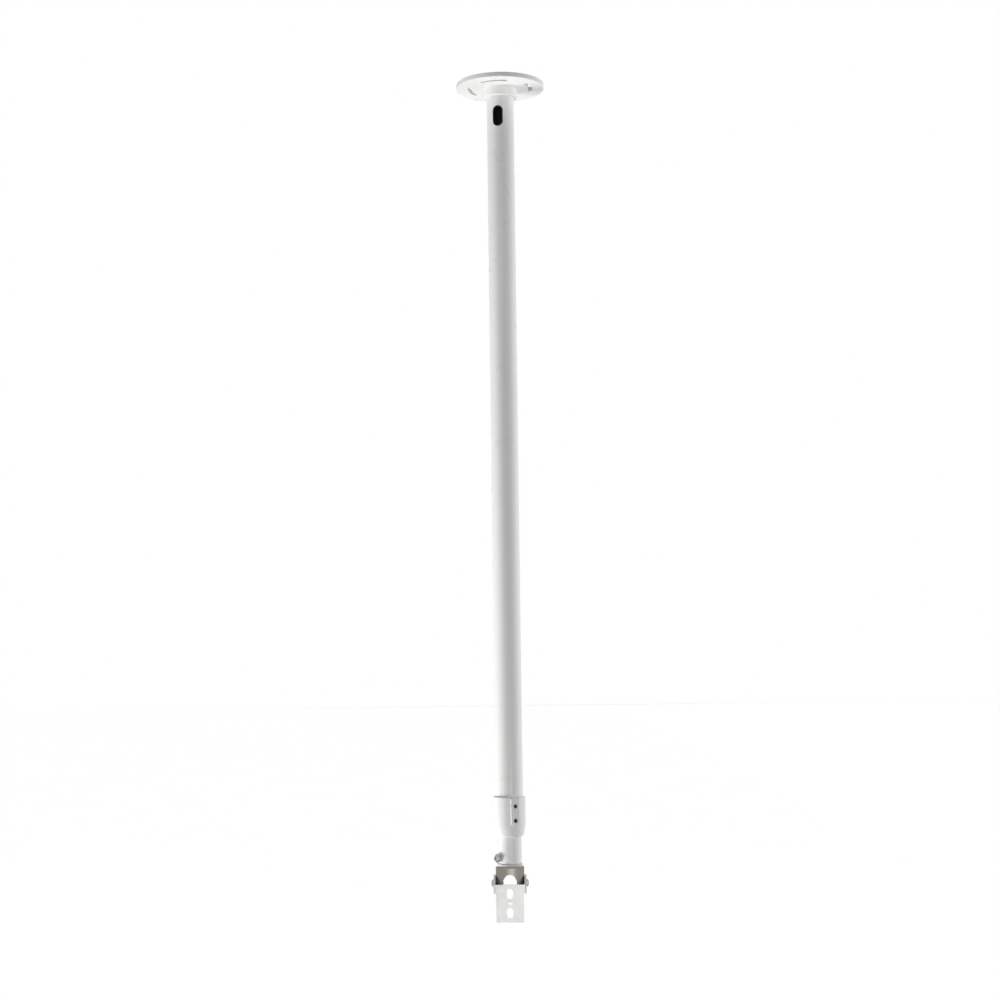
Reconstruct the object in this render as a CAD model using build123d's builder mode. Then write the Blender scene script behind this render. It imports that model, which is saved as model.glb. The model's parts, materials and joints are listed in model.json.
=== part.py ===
"""Telescopic ceiling drop pole with a swivelling, tilting bracket for a customer display.

Millimetres. The origin is the centre of the flange's ceiling face. +Z is up, so the pole hangs
down -Z. +X runs along the tilt pivot and -Y is the side that the display plate faces.
An azimuth is counted about Z from -Y towards +X.
"""
from build123d import *
from math import acos, cos, radians, sin
import os

# ---- driving dimensions ------------------------------------------------------------------
# ceiling flange
FLANGE_R, FLANGE_T = 65.0, 7.0
HUB_R, HUB_DROP = 25.0, 21.0
RIM_TOP_CHAMFER, RIM_FILLET, HUB_FILLET = 0.5, 1.0, 1.6
CABLE_HOLE_R = 15.0
SLOT_CIRCLE_R, SLOT_W, SLOT_SWEEP = 45.0, 6.0, 44.5
HUB_SCREW_Z, HUB_SCREW_SINK = -14.0, 0.3

# tubes
OUTER_R, OUTER_WALL, OUTER_TOP, OUTER_BOTTOM = 20.0, 2.5, -3.0, -1090.0
INNER_R, INNER_WALL, INNER_LENGTH, INNER_BOTTOM = 17.0, 2.0, 450.0, -1146.0
CABLE_SLOT_W, CABLE_SLOT_H, CABLE_SLOT_Z = 15.0, 31.0, -52.0
GROMMET_LIP, GROMMET_PROUD = 1.3, 0.3
GLIDE_GAP, GLIDE_HEAD_H, GLIDE_TAIL_H, GLIDE_TAIL_WALL, GLIDE_CHAMFER = 0.3, 10.0, 8.0, 1.72, 1.0

# clamp collar and its pad
COLLAR_R, COLLAR_TOP, COLLAR_SHOULDER, COLLAR_BOTTOM = 23.5, -1050.5, -1089.0, -1106.5
COLLAR_NOSE_R, COLLAR_CHAMFER, COLLAR_MOUTH_GAP = 20.4, 1.3, 0.6
PAD_W, PAD_H, PAD_FACE_R, PAD_Z = 13.5, 38.0, 24.6, -1070.5
PAD_CORNER_R, PAD_CHAMFER = 1.5, 1.0
PAD_SCREW_Z, PAD_SCREW_SINK = (-1063.5, -1084.0), 0.4
SHOE_W, SHOE_H, SHOE_Z, SHOE_GAP = 9.0, 32.0, -1073.7, 0.3
BUSH_R, BUSH_TOP, BUSH_BOTTOM = 19.0, -1090.1, -1104.4

# lock screw and rivet nut in the inner tube
LOCK_Z, LOCK_WASHER_R, LOCK_WASHER_SEAT, LOCK_WASHER_T = -1138.0, 6.4, 20.0, 1.2
LOCK_TIP_GAP = 0.7
RIVET_HEAD_R, RIVET_HEAD_T, RIVET_BODY_R, RIVET_END_GAP = 5.0, 0.8, 4.0, 1.5

# swivel and yoke
SPIGOT_R, SPIGOT_BORE_R, SPIGOT_TOP = 14.7, 9.5, -1118.0
SPIGOT_NECK_R, SPIGOT_END, GROOVE_R, GROOVE_H = 12.0, -1160.3, 11.5, 9.4
SPIGOT_CHAMFER = 1.0
SPIGOT_NUT_R, SPIGOT_NUT_SLOTS, SPIGOT_NUT_SLOT_W = 16.0, 6, 4.0
RING_R, RING_TOP, RING_CHAMFER, CUP_TOP = 18.25, -1146.1, 0.4, -1150.3
CUP_R, CUP_WALL, CUP_ROOF_T, CUP_BOTTOM, CUP_FILLET = 20.5, 3.0, 4.0, -1185.0, 1.6
LEG_HALF_W, LEG_FOOT_HALF_W, LEG_CORNER_R, LEG_TAPER_DROP = 17.0, 11.0, 4.0, 2.0
SPOT_FACE_R, SPOT_FACE_DEPTH = 7.0, 0.5
ARCH_APEX, ARCH_R, ARCH_FLARE = -1160.5, 8.3, 28.0

# tilt pivot and bracket
PIVOT_Z, TILT_T = -1174.1, 2.5
EAR_R, EAR_OUTER_X = 12.3, 23.5
PIVOT_SHANK, PIVOT_WASHER_R, PIVOT_WASHER_T = 14.0, 6.0, 1.2
FRICTION_WASHER_R, FRICTION_WASHER_T = 9.0, 0.4
PLATE_W, PLATE_TOP, PLATE_BOTTOM, PLATE_FRONT_Y = 40.0, -1174.0, -1227.2, -24.0
PLATE_SLOT_W, PLATE_SLOT_L, PLATE_SLOT_PITCH, PLATE_SLOT_MID_Z = 8.7, 15.0, 27.0, -1200.6
PLATE_CORNER_R = 1.8
TIE_SLOT_W, TIE_SLOT_H, TIE_SLOT_R = 7.0, 3.2, 1.5
BEND_R = 1.0
STRAP_END_Y = PLATE_FRONT_Y + TILT_T + BEND_R

# directions, in degrees from the bracket's front
POLE_AZ = -11.0         # the flange and the cable slot, as hung
PAD_AZ = 22.5           # the collar's pad
LOCK_AZ = -59.0         # the lock screw
HUB_SCREW_AZ = (POLE_AZ + 125.0, POLE_AZ + 235.0)

# fasteners: metric M6
M6_R, M6_HEAD_R, M6_HEAD_H, M6_NUT_AF, M6_NUT_H = 3.0, 5.25, 3.3, 10.0, 5.0
M6_HEAD_DOME, M6_KEY_AF, M6_KEY_DEPTH = 0.75, 4.0, 2.0
SET_KEY_AF, SET_KEY_DEPTH = 3.0, 2.5
M6_CLEAR_R, RUNNING, SLIDE_FIT = 3.1, 0.05, 0.08
GAP = 0.1               # between pieces of one rigid group
PAST = 5.0              # how far a cut runs past the face that it opens


# ---- shared shapes -----------------------------------------------------------------------
def radial_plane(azimuth, z, radius=0.0):
    """A plane whose normal points away from the pole's axis, with its own y axis up."""
    a = radians(azimuth)
    outward = Vector(sin(a), -cos(a), 0)
    return Plane(origin=outward * radius + Vector(0, 0, z), x_dir=(cos(a), sin(a), 0), z_dir=outward)


def ring(bottom, top, outer_r, inner_r):
    """A round sleeve about the pole's axis."""
    with BuildPart() as sleeve:
        with BuildSketch(Plane.XY.offset(bottom)):
            Circle(outer_r)
            Circle(inner_r, mode=Mode.SUBTRACT)
        extrude(amount=top - bottom)
    return sleeve


def button_screw(seat, shank_length):
    """An M6 button-head screw: its head stands on the seat plane, its shank goes below it."""
    with BuildPart() as screw:
        with BuildSketch(seat):
            Circle(M6_HEAD_R)
        extrude(amount=M6_HEAD_H)
        dome = screw.faces().sort_by(Axis(seat.origin, seat.z_dir))[-1].edges()
        fillet(dome, M6_HEAD_H * M6_HEAD_DOME)
        with BuildSketch(seat.offset(M6_HEAD_H)):
            RegularPolygon(M6_KEY_AF / 2, 6, major_radius=False)
        extrude(amount=-M6_KEY_DEPTH, mode=Mode.SUBTRACT)
        with BuildSketch(seat):
            Circle(M6_R)
        extrude(amount=-shank_length)
    return screw


def set_screws(places, length):
    """Socket set screws, each with its outer end on one of the given planes."""
    with BuildPart() as screws:
        for outer_end in places:
            with BuildSketch(outer_end):
                Circle(M6_R - RUNNING)
            extrude(amount=-length)
            with BuildSketch(outer_end):
                RegularPolygon(SET_KEY_AF / 2, 6, major_radius=False)
            extrude(amount=-SET_KEY_DEPTH, mode=Mode.SUBTRACT)
    return screws


# ---- ceiling end -------------------------------------------------------------------------
def ceiling_flange():
    """Round plate and hub, with four curved slots for the ceiling screws."""
    with BuildPart() as flange:
        with BuildSketch(Plane.XY.offset(-FLANGE_T)):
            Circle(FLANGE_R)
        extrude(amount=FLANGE_T)
        chamfer(flange.edges().group_by(Axis.Z)[-1], RIM_TOP_CHAMFER)
        fillet(flange.edges().group_by(Axis.Z)[0], RIM_FILLET)
        with BuildSketch(Plane.XY.offset(-HUB_DROP)):
            Circle(HUB_R)
        extrude(amount=HUB_DROP - FLANGE_T)
        fillet(flange.edges().group_by(Axis.Z)[0], HUB_FILLET)
        with BuildSketch(Plane.XY.offset(-HUB_DROP)):
            Circle(OUTER_R + GAP)
        extrude(amount=HUB_DROP + OUTER_TOP, mode=Mode.SUBTRACT)
        with BuildSketch(Plane.XY.offset(-FLANGE_T)):
            Circle(CABLE_HOLE_R)
            for quarter in range(4):
                middle = POLE_AZ - 90 + 90 * quarter
                arc = CenterArc((0, 0), SLOT_CIRCLE_R, middle - SLOT_SWEEP / 2, SLOT_SWEEP)
                SlotArc(arc, SLOT_W)
        extrude(amount=FLANGE_T, mode=Mode.SUBTRACT)
        for azimuth in HUB_SCREW_AZ:
            with BuildSketch(radial_plane(azimuth, HUB_SCREW_Z, OUTER_R - OUTER_WALL)):
                Circle(M6_R)
            extrude(amount=HUB_R, mode=Mode.SUBTRACT)
    return flange


def flange_set_screws():
    """Two set screws at the back of the hub that grip the outer tube."""
    end_r = HUB_R - HUB_SCREW_SINK
    return set_screws([radial_plane(a, HUB_SCREW_Z, end_r) for a in HUB_SCREW_AZ],
                      end_r - OUTER_R - GAP)


# ---- outer tube --------------------------------------------------------------------------
def outer_tube():
    """The long fixed tube, with the cable's slot near its top and the shoe's window low down."""
    with BuildPart() as tube:
        with BuildSketch(Plane.XY.offset(OUTER_BOTTOM)):
            Circle(OUTER_R)
            Circle(OUTER_R - OUTER_WALL, mode=Mode.SUBTRACT)
        extrude(amount=OUTER_TOP - OUTER_BOTTOM)
        with BuildSketch(radial_plane(POLE_AZ, CABLE_SLOT_Z)):
            SlotOverall(CABLE_SLOT_H, CABLE_SLOT_W, rotation=90)
        extrude(amount=OUTER_R + PAST, mode=Mode.SUBTRACT)
        with BuildSketch(radial_plane(PAD_AZ, SHOE_Z)):
            SlotOverall(SHOE_H, SHOE_W, rotation=90)
        extrude(amount=OUTER_R + PAST, mode=Mode.SUBTRACT)
    return tube


def cable_grommet():
    """The rubber edging of the cable slot, curved with the tube's wall."""
    with BuildPart() as grommet:
        with BuildSketch(radial_plane(POLE_AZ, CABLE_SLOT_Z)):
            SlotOverall(CABLE_SLOT_H - GAP, CABLE_SLOT_W - GAP, rotation=90)
            SlotOverall(CABLE_SLOT_H - 2 * GROMMET_LIP, CABLE_SLOT_W - 2 * GROMMET_LIP, rotation=90,
                        mode=Mode.SUBTRACT)
        extrude(amount=OUTER_R + PAST)
        with BuildSketch(Plane.XY.offset(CABLE_SLOT_Z - CABLE_SLOT_H)):
            Circle(OUTER_R + GROMMET_PROUD)
            Circle(OUTER_R - OUTER_WALL - GROMMET_PROUD, mode=Mode.SUBTRACT)
        extrude(amount=2 * CABLE_SLOT_H, mode=Mode.INTERSECT)
    return grommet


# ---- clamp collar ------------------------------------------------------------------------
def clamp_collar():
    """The turned collar at the foot of the outer tube, with a flat pad for its two screws."""
    bore_r = OUTER_R + GAP
    mouth_r = INNER_R + COLLAR_MOUTH_GAP
    with BuildPart() as collar:
        with BuildSketch(Plane.XZ):
            with BuildLine():
                Polyline((bore_r, COLLAR_TOP), (COLLAR_R - COLLAR_CHAMFER, COLLAR_TOP),
                         (COLLAR_R, COLLAR_TOP - COLLAR_CHAMFER), (COLLAR_R, COLLAR_SHOULDER),
                         (COLLAR_NOSE_R, COLLAR_BOTTOM), (mouth_r, COLLAR_BOTTOM),
                         (mouth_r, BUSH_BOTTOM - GAP), (BUSH_R + GAP, BUSH_BOTTOM - GAP),
                         (BUSH_R + GAP, OUTER_BOTTOM), (bore_r, OUTER_BOTTOM), close=True)
            make_face()
        revolve(axis=Axis.Z)
        pad_root_r = (bore_r + COLLAR_R) / 2
        with BuildSketch(radial_plane(PAD_AZ, PAD_Z, pad_root_r)):
            RectangleRounded(PAD_W, PAD_H, PAD_CORNER_R)
        extrude(amount=PAD_FACE_R - pad_root_r)
        pad_face = collar.faces().sort_by(Axis((0, 0, PAD_Z), radial_plane(PAD_AZ, 0).z_dir))[-1]
        chamfer(pad_face.edges(), PAD_CHAMFER)
        for z in PAD_SCREW_Z:
            with BuildSketch(radial_plane(PAD_AZ, z, OUTER_R - OUTER_WALL)):
                Circle(M6_R)
            extrude(amount=COLLAR_R, mode=Mode.SUBTRACT)
    return collar


def collar_set_screws():
    """Two set screws in the pad that press the shoe against the inner tube."""
    end_r = PAD_FACE_R - PAD_SCREW_SINK
    return set_screws([radial_plane(PAD_AZ, z, end_r) for z in PAD_SCREW_Z], end_r - OUTER_R - 2 * GAP)


def clamp_shoe():
    """The nylon shoe in the outer tube's window, curved to the inner tube."""
    with BuildPart() as shoe:
        with BuildSketch(radial_plane(PAD_AZ, SHOE_Z)):
            SlotOverall(SHOE_H - 2 * GAP, SHOE_W - 2 * GAP, rotation=90)
        extrude(amount=OUTER_R + PAST)
        with BuildSketch(Plane.XY.offset(SHOE_Z - SHOE_H)):
            Circle(OUTER_R)
            Circle(INNER_R + SHOE_GAP, mode=Mode.SUBTRACT)
        extrude(amount=2 * SHOE_H, mode=Mode.INTERSECT)
    return shoe


def guide_bush():
    """The nylon bush in the collar's nose that guides the inner tube."""
    return ring(BUSH_BOTTOM, BUSH_TOP, BUSH_R, INNER_R + SLIDE_FIT)


# ---- inner tube --------------------------------------------------------------------------
INNER_TOP = INNER_BOTTOM + INNER_LENGTH
BORE_R = INNER_R - INNER_WALL


def glide_ring():
    """The nylon ring that guides the top of the inner tube inside the outer tube."""
    tail_r = BORE_R - SLIDE_FIT
    tail_end = INNER_TOP - GLIDE_TAIL_H
    with BuildPart() as glide:
        with BuildSketch(Plane.XY.offset(INNER_TOP + GAP)):
            Circle(OUTER_R - OUTER_WALL - GLIDE_GAP)
        extrude(amount=GLIDE_HEAD_H)
        chamfer(glide.edges().group_by(Axis.Z)[-1], GLIDE_CHAMFER)
        with BuildSketch(Plane.XY.offset(tail_end)):
            Circle(tail_r)
        extrude(amount=GLIDE_TAIL_H + GAP)
        with BuildSketch(Plane.XY.offset(tail_end)):
            Circle(tail_r - GLIDE_TAIL_WALL)
        extrude(amount=GLIDE_TAIL_H + GLIDE_HEAD_H + PAST, mode=Mode.SUBTRACT)
    return glide


def inner_tube():
    """The tube that slides out of the collar, with one hole for the rivet nut."""
    with BuildPart() as tube:
        with BuildSketch(Plane.XY.offset(INNER_BOTTOM)):
            Circle(INNER_R)
            Circle(BORE_R, mode=Mode.SUBTRACT)
        extrude(amount=INNER_LENGTH)
        with BuildSketch(radial_plane(LOCK_AZ, LOCK_Z)):
            Circle(RIVET_BODY_R)
        extrude(amount=INNER_R + PAST, mode=Mode.SUBTRACT)
    return tube


def rivet_nut():
    """The threaded insert that carries the lock screw in the inner tube's wall."""
    head_r = INNER_R + RUNNING
    end_r = GROOVE_R + RIVET_END_GAP
    with BuildPart() as insert:
        with BuildSketch(radial_plane(LOCK_AZ, LOCK_Z, head_r)):
            Circle(RIVET_HEAD_R)
        extrude(amount=RIVET_HEAD_T)
        with BuildSketch(radial_plane(LOCK_AZ, LOCK_Z, end_r)):
            Circle(RIVET_BODY_R - RUNNING)
        extrude(amount=head_r - end_r + RUNNING)
        with BuildSketch(radial_plane(LOCK_AZ, LOCK_Z, GROOVE_R)):
            Circle(M6_R + RUNNING)
        extrude(amount=INNER_R, mode=Mode.SUBTRACT)
    return insert


def lock_screw():
    """The button-head screw whose tip reaches into the spigot's groove and locks the swivel."""
    seat_r = LOCK_WASHER_SEAT + LOCK_WASHER_T + RUNNING
    return button_screw(radial_plane(LOCK_AZ, LOCK_Z, seat_r), seat_r - GROOVE_R - LOCK_TIP_GAP)


def lock_washer():
    """The wide washer under the lock screw's head."""
    with BuildPart() as washer:
        with BuildSketch(radial_plane(LOCK_AZ, LOCK_Z, LOCK_WASHER_SEAT)):
            Circle(LOCK_WASHER_R)
            Circle(M6_R + RUNNING, mode=Mode.SUBTRACT)
        extrude(amount=LOCK_WASHER_T)
    return washer


# ---- swivel and yoke ---------------------------------------------------------------------
def swivel_spigot():
    """The hollow turned spigot that turns inside the inner tube, held by its groove."""
    groove_top, groove_bottom = LOCK_Z + GROOVE_H / 2, LOCK_Z - GROOVE_H / 2
    with BuildPart() as spigot:
        with BuildSketch(Plane.XZ):
            with BuildLine():
                Polyline((SPIGOT_BORE_R, SPIGOT_TOP), (SPIGOT_R - SPIGOT_CHAMFER, SPIGOT_TOP),
                         (SPIGOT_R, SPIGOT_TOP - SPIGOT_CHAMFER), (SPIGOT_R, groove_top),
                         (GROOVE_R, groove_top), (GROOVE_R, groove_bottom),
                         (SPIGOT_R, groove_bottom), (SPIGOT_R, CUP_TOP),
                         (SPIGOT_NECK_R, CUP_TOP), (SPIGOT_NECK_R, SPIGOT_END),
                         (SPIGOT_BORE_R, SPIGOT_END), close=True)
            make_face()
        revolve(axis=Axis.Z)
    return spigot


def thrust_ring():
    """The nylon ring that the inner tube's end turns on."""
    with BuildPart() as thrust:
        with BuildSketch(Plane.XY.offset(CUP_TOP)):
            Circle(RING_R)
            Circle(SPIGOT_R + GAP, mode=Mode.SUBTRACT)
        extrude(amount=RING_TOP - CUP_TOP)
        chamfer(thrust.edges().filter_by(GeomType.CIRCLE).sort_by(SortBy.RADIUS)[-2:], RING_CHAMFER)
    return thrust


def spigot_nut():
    """The slotted ring nut that holds the spigot under the cup's roof."""
    with BuildPart() as nut:
        with BuildSketch(Plane.XY.offset(SPIGOT_END)):
            Circle(SPIGOT_NUT_R)
            Circle(SPIGOT_NECK_R + RUNNING, mode=Mode.SUBTRACT)
            with PolarLocations(SPIGOT_NUT_R, SPIGOT_NUT_SLOTS):
                Rectangle(SPIGOT_NUT_SLOT_W, SPIGOT_NUT_SLOT_W, mode=Mode.SUBTRACT)
        extrude(amount=CUP_TOP - CUP_ROOF_T - SPIGOT_END)
    return nut


def arch_outline():
    """The arch's outline in the XZ plane: a round top whose flanks flare outwards."""
    flare = radians(ARCH_FLARE)
    centre_z = ARCH_APEX - ARCH_R
    shoulder = (ARCH_R * cos(flare), centre_z + ARCH_R * sin(flare))
    drop = shoulder[1] - CUP_BOTTOM + PAST
    foot = (shoulder[0] + drop * sin(flare) / cos(flare), CUP_BOTTOM - PAST)
    Line((-foot[0], foot[1]), (-shoulder[0], shoulder[1]))
    ThreePointArc((-shoulder[0], shoulder[1]), (0, ARCH_APEX), shoulder)
    Line(shoulder, foot)
    Line(foot, (-foot[0], foot[1]))


def yoke_cup():
    """The steel cup: a roof, a round wall arched front and back, and two legs for the pivot."""
    seat_x = CUP_R - CUP_WALL - SPOT_FACE_DEPTH
    belly = PIVOT_Z - LEG_TAPER_DROP
    above = PIVOT_Z + 1
    with BuildPart() as cup:
        with BuildSketch(Plane.XY.offset(CUP_BOTTOM)):
            Circle(CUP_R)
        extrude(amount=CUP_TOP - CUP_BOTTOM)
        fillet(cup.edges().group_by(Axis.Z)[-1], CUP_FILLET)
        with BuildSketch(Plane.XY.offset(CUP_BOTTOM)):
            Circle(CUP_R - CUP_WALL)
        extrude(amount=CUP_TOP - CUP_ROOF_T - CUP_BOTTOM, mode=Mode.SUBTRACT)
        with BuildSketch(Plane.XY.offset(CUP_TOP)):
            Circle(SPIGOT_NECK_R + RUNNING)
        extrude(amount=-CUP_ROOF_T, mode=Mode.SUBTRACT)
        with BuildSketch(Plane.XZ):
            with BuildLine():
                arch_outline()
            make_face()
        extrude(amount=CUP_R + PAST, both=True, mode=Mode.SUBTRACT)
        with BuildSketch(Plane.YZ):
            with Locations((0, CUP_BOTTOM)):
                Rectangle(3 * CUP_R, 2 * (PIVOT_Z - CUP_BOTTOM))
            with BuildLine():
                FilletPolyline((-LEG_HALF_W, above), (-LEG_HALF_W, belly),
                               (-LEG_FOOT_HALF_W, CUP_BOTTOM), (LEG_FOOT_HALF_W, CUP_BOTTOM),
                               (LEG_HALF_W, belly), (LEG_HALF_W, above), radius=LEG_CORNER_R)
                Line((LEG_HALF_W, above), (-LEG_HALF_W, above))
            make_face(mode=Mode.SUBTRACT)
        extrude(amount=CUP_R + PAST, both=True, mode=Mode.SUBTRACT)
        with BuildSketch(Plane.YZ):
            with Locations((0, PIVOT_Z)):
                Circle(SPOT_FACE_R)
        extrude(amount=seat_x, both=True, mode=Mode.SUBTRACT)
        with BuildSketch(Plane.YZ):
            with Locations((0, PIVOT_Z)):
                Circle(M6_CLEAR_R)
        extrude(amount=CUP_R + PAST, both=True, mode=Mode.SUBTRACT)
    return cup


# ---- tilt pivot --------------------------------------------------------------------------
PIVOT_NUT_X = CUP_R - CUP_WALL - SPOT_FACE_DEPTH - PIVOT_WASHER_T


def pivot_plane(side, x):
    """A plane across the tilt pivot at the given distance, facing away from the pole."""
    return Plane(origin=(side * x, 0, PIVOT_Z), x_dir=(0, side, 0), z_dir=(side, 0, 0))


def pivot_discs(x, thickness, outer_r, hole_r):
    """One disc each side of the pole, from the distance x outwards."""
    with BuildPart() as discs:
        for side in (-1, 1):
            with BuildSketch(pivot_plane(side, x)):
                Circle(outer_r)
                Circle(hole_r, mode=Mode.SUBTRACT)
            extrude(amount=thickness)
    return discs


def pivot_bolt_left():
    """The left pivot bolt, which the left ear turns on."""
    return button_screw(pivot_plane(-1, EAR_OUTER_X + RUNNING), PIVOT_SHANK)


def pivot_bolt_right():
    """The right pivot bolt, which the right ear turns on."""
    return button_screw(pivot_plane(1, EAR_OUTER_X + RUNNING), PIVOT_SHANK)


def friction_washers():
    """Thin washers between the cup's legs and the ears."""
    return pivot_discs(CUP_R + RUNNING, FRICTION_WASHER_T, FRICTION_WASHER_R, M6_CLEAR_R)


def pivot_washers():
    """Steel washers on the flats inside the cup's legs."""
    return pivot_discs(PIVOT_NUT_X, PIVOT_WASHER_T, PIVOT_WASHER_R, M6_CLEAR_R)


def pivot_nuts():
    """Lock nuts inside the cup's legs."""
    with BuildPart() as nuts:
        for side in (-1, 1):
            with BuildSketch(pivot_plane(side, PIVOT_NUT_X - M6_NUT_H)):
                RegularPolygon(M6_NUT_AF / 2, 6, major_radius=False)
                Circle(M6_R + RUNNING, mode=Mode.SUBTRACT)
            extrude(amount=M6_NUT_H)
    return nuts


def ear_arm_outline():
    """The arm that joins the ear's round end to the plate's bend, in the YZ plane."""
    touch = acos(EAR_R / -STRAP_END_Y)
    Polyline((STRAP_END_Y, PIVOT_Z), (-EAR_R * cos(touch), PIVOT_Z + EAR_R * sin(touch)),
             (0, PIVOT_Z), (0, PIVOT_Z - EAR_R), (STRAP_END_Y, PIVOT_Z - EAR_R), close=True)


def tilt_bracket():
    """The bent steel bracket: a slotted display plate and two ears folded back to the pivot."""
    inner_x = EAR_OUTER_X - TILT_T
    back_y = PLATE_FRONT_Y + TILT_T
    strap_end_y = STRAP_END_Y + 1
    with BuildPart() as bracket:
        with BuildSketch(Plane.XY.offset(PIVOT_Z - EAR_R)):
            with BuildLine():
                FilletPolyline((-EAR_OUTER_X, strap_end_y), (-EAR_OUTER_X, PLATE_FRONT_Y),
                               (EAR_OUTER_X, PLATE_FRONT_Y), (EAR_OUTER_X, strap_end_y),
                               radius=BEND_R + TILT_T)
                offset(amount=TILT_T, side=Side.LEFT)
            make_face()
        extrude(amount=PLATE_TOP - PIVOT_Z + EAR_R)
        for side in (-1, 1):
            with BuildSketch(Plane.YZ.offset(side * inner_x)):
                with Locations((0, PIVOT_Z)):
                    Circle(EAR_R)
                with BuildLine():
                    ear_arm_outline()
                make_face()
                with Locations((0, PIVOT_Z)):
                    Circle(M6_R + RUNNING, mode=Mode.SUBTRACT)
            extrude(amount=side * TILT_T)
        with BuildSketch(Plane.XZ.offset(-back_y)) as plate:
            with Locations((0, (PLATE_TOP + PLATE_BOTTOM) / 2)):
                Rectangle(PLATE_W, PLATE_TOP - PLATE_BOTTOM)
            fillet(plate.vertices().group_by(Axis.Z)[0], PLATE_CORNER_R)
        extrude(amount=TILT_T)
        with BuildSketch(Plane.XZ.offset(-back_y - PAST)):
            with Locations((0, PLATE_SLOT_MID_Z)):
                with GridLocations(0, PLATE_SLOT_PITCH, 1, 2):
                    SlotOverall(PLATE_SLOT_L, PLATE_SLOT_W, rotation=90)
                RectangleRounded(TIE_SLOT_W, TIE_SLOT_H, TIE_SLOT_R)
        extrude(amount=TILT_T + 2 * PAST, mode=Mode.SUBTRACT)
    return bracket


# ---- write every piece -------------------------------------------------------------------
PIECES = (ceiling_flange, flange_set_screws, outer_tube, cable_grommet, clamp_collar,
          collar_set_screws, clamp_shoe, guide_bush, glide_ring, inner_tube, rivet_nut,
          lock_screw, lock_washer, swivel_spigot, thrust_ring, spigot_nut, yoke_cup,
          pivot_bolt_left, pivot_bolt_right, friction_washers, pivot_washers, pivot_nuts,
          tilt_bracket)

os.makedirs("parts", exist_ok=True)
for make_piece in PIECES:
    piece = make_piece()
    piece.part.label = make_piece.__name__
    export_step(piece.part, f"parts/{make_piece.__name__}.step")
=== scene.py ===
"""Looks of a telescopic ceiling drop pole: its coated tubes, steel bracket and fasteners."""

import json
from math import acos, atan2, cos, pi, radians, sin, tan

import bmesh
import bpy
from bpy.props import FloatProperty, FloatVectorProperty, IntProperty, PointerProperty
from mathutils import Matrix, Vector


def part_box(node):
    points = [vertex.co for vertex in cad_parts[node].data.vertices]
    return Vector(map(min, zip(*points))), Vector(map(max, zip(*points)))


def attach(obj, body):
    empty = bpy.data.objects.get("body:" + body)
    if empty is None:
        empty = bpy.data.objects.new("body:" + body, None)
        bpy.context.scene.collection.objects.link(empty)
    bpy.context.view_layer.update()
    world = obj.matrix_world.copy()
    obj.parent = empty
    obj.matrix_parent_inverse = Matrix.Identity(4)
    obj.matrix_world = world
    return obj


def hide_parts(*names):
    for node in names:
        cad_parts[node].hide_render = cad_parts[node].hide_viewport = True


bl_info = {
    "name": "Ceiling drop pole",
    "version": (1, 0, 0),
    "blender": (4, 5, 0),
    "location": "View3D > Sidebar > Drop pole",
    "description": "Builds the tubes, bracket, fasteners, finishes and studio of a drop pole",
    "category": "Add Mesh",
}

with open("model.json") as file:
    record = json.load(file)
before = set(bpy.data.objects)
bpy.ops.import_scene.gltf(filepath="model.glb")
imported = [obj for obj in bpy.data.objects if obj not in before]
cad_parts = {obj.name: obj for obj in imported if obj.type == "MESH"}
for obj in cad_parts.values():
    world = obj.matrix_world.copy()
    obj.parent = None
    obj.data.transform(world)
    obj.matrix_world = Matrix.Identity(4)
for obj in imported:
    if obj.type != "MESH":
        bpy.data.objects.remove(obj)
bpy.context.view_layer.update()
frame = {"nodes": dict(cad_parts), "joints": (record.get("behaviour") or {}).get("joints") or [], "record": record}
MM = 0.001
ORIGIN = Vector((0, 0, 0))
UP = Vector((0, 0, 1))


# ---- places, read from the frame ----------------------------------------------------------
def low(node):
    """The lowest corner of a CAD node."""
    return Vector(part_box(node)[0])


def high(node):
    """The highest corner of a CAD node."""
    return Vector(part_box(node)[1])


def azimuth_of(node):
    """The direction of a node from the pole's axis, in radians from -Y towards +X."""
    place = (low(node) + high(node)) / 2
    return atan2(place.x, -place.y)


def half_width(node):
    """Half of a node's size along X."""
    return (high(node).x - low(node).x) / 2


def opening(name):
    """The middle of one of the record's openings."""
    box = next(o["box_m"] for o in frame["record"]["physics"]["openings"] if o["name"] == name)
    return (Vector(box[0]) + Vector(box[1])) / 2


OUTER_R = half_width("outer_tube")
INNER_R = half_width("inner_tube")
CUP_R = half_width("yoke_cup")
EAR_X = half_width("tilt_bracket")
PIVOT = Vector(next(j["pos_m"] for j in frame["joints"] if j["name"] == "bracket_tilt"))
LOCK_AZ = azimuth_of("lock_screw")
PAD_AZ = azimuth_of("collar_set_screws")
POLE_AZ = atan2(opening("ceiling_slot_1").x, -opening("ceiling_slot_1").y)


# ---- sizes of the small shapes, in metres and radians -------------------------------------
NEAR = 1 * MM                 # how far a test for an edge reaches from the edge's place
PAST = 5 * MM                 # how far a cutter runs past what it cuts
STEEP = radians(50)           # a sharper edge than this is a cut edge
CREASE = radians(28)          # a sharper edge than this isn't shaded smooth
CUT_SIDES, ROUND_SIDES, RING_SIDES = 48, 64, 128
BODY_SIDES, FLANGE_SIDES = 160, 192

# ceiling flange and its hub
FLANGE_PLATE, HUB_R, CEILING_HOLE_R = 7 * MM, 25 * MM, 15 * MM
HUB_FIT, HUB_EDGE, RIM_EDGE = 0.1 * MM, 1.6 * MM, 0.9 * MM
SLOT_SWEEP, SLOT_CUT = radians(44.5), 30 * MM
HUB_SCREW_AZ, HUB_SCREW_Z = (radians(125), radians(235)), -14 * MM

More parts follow.
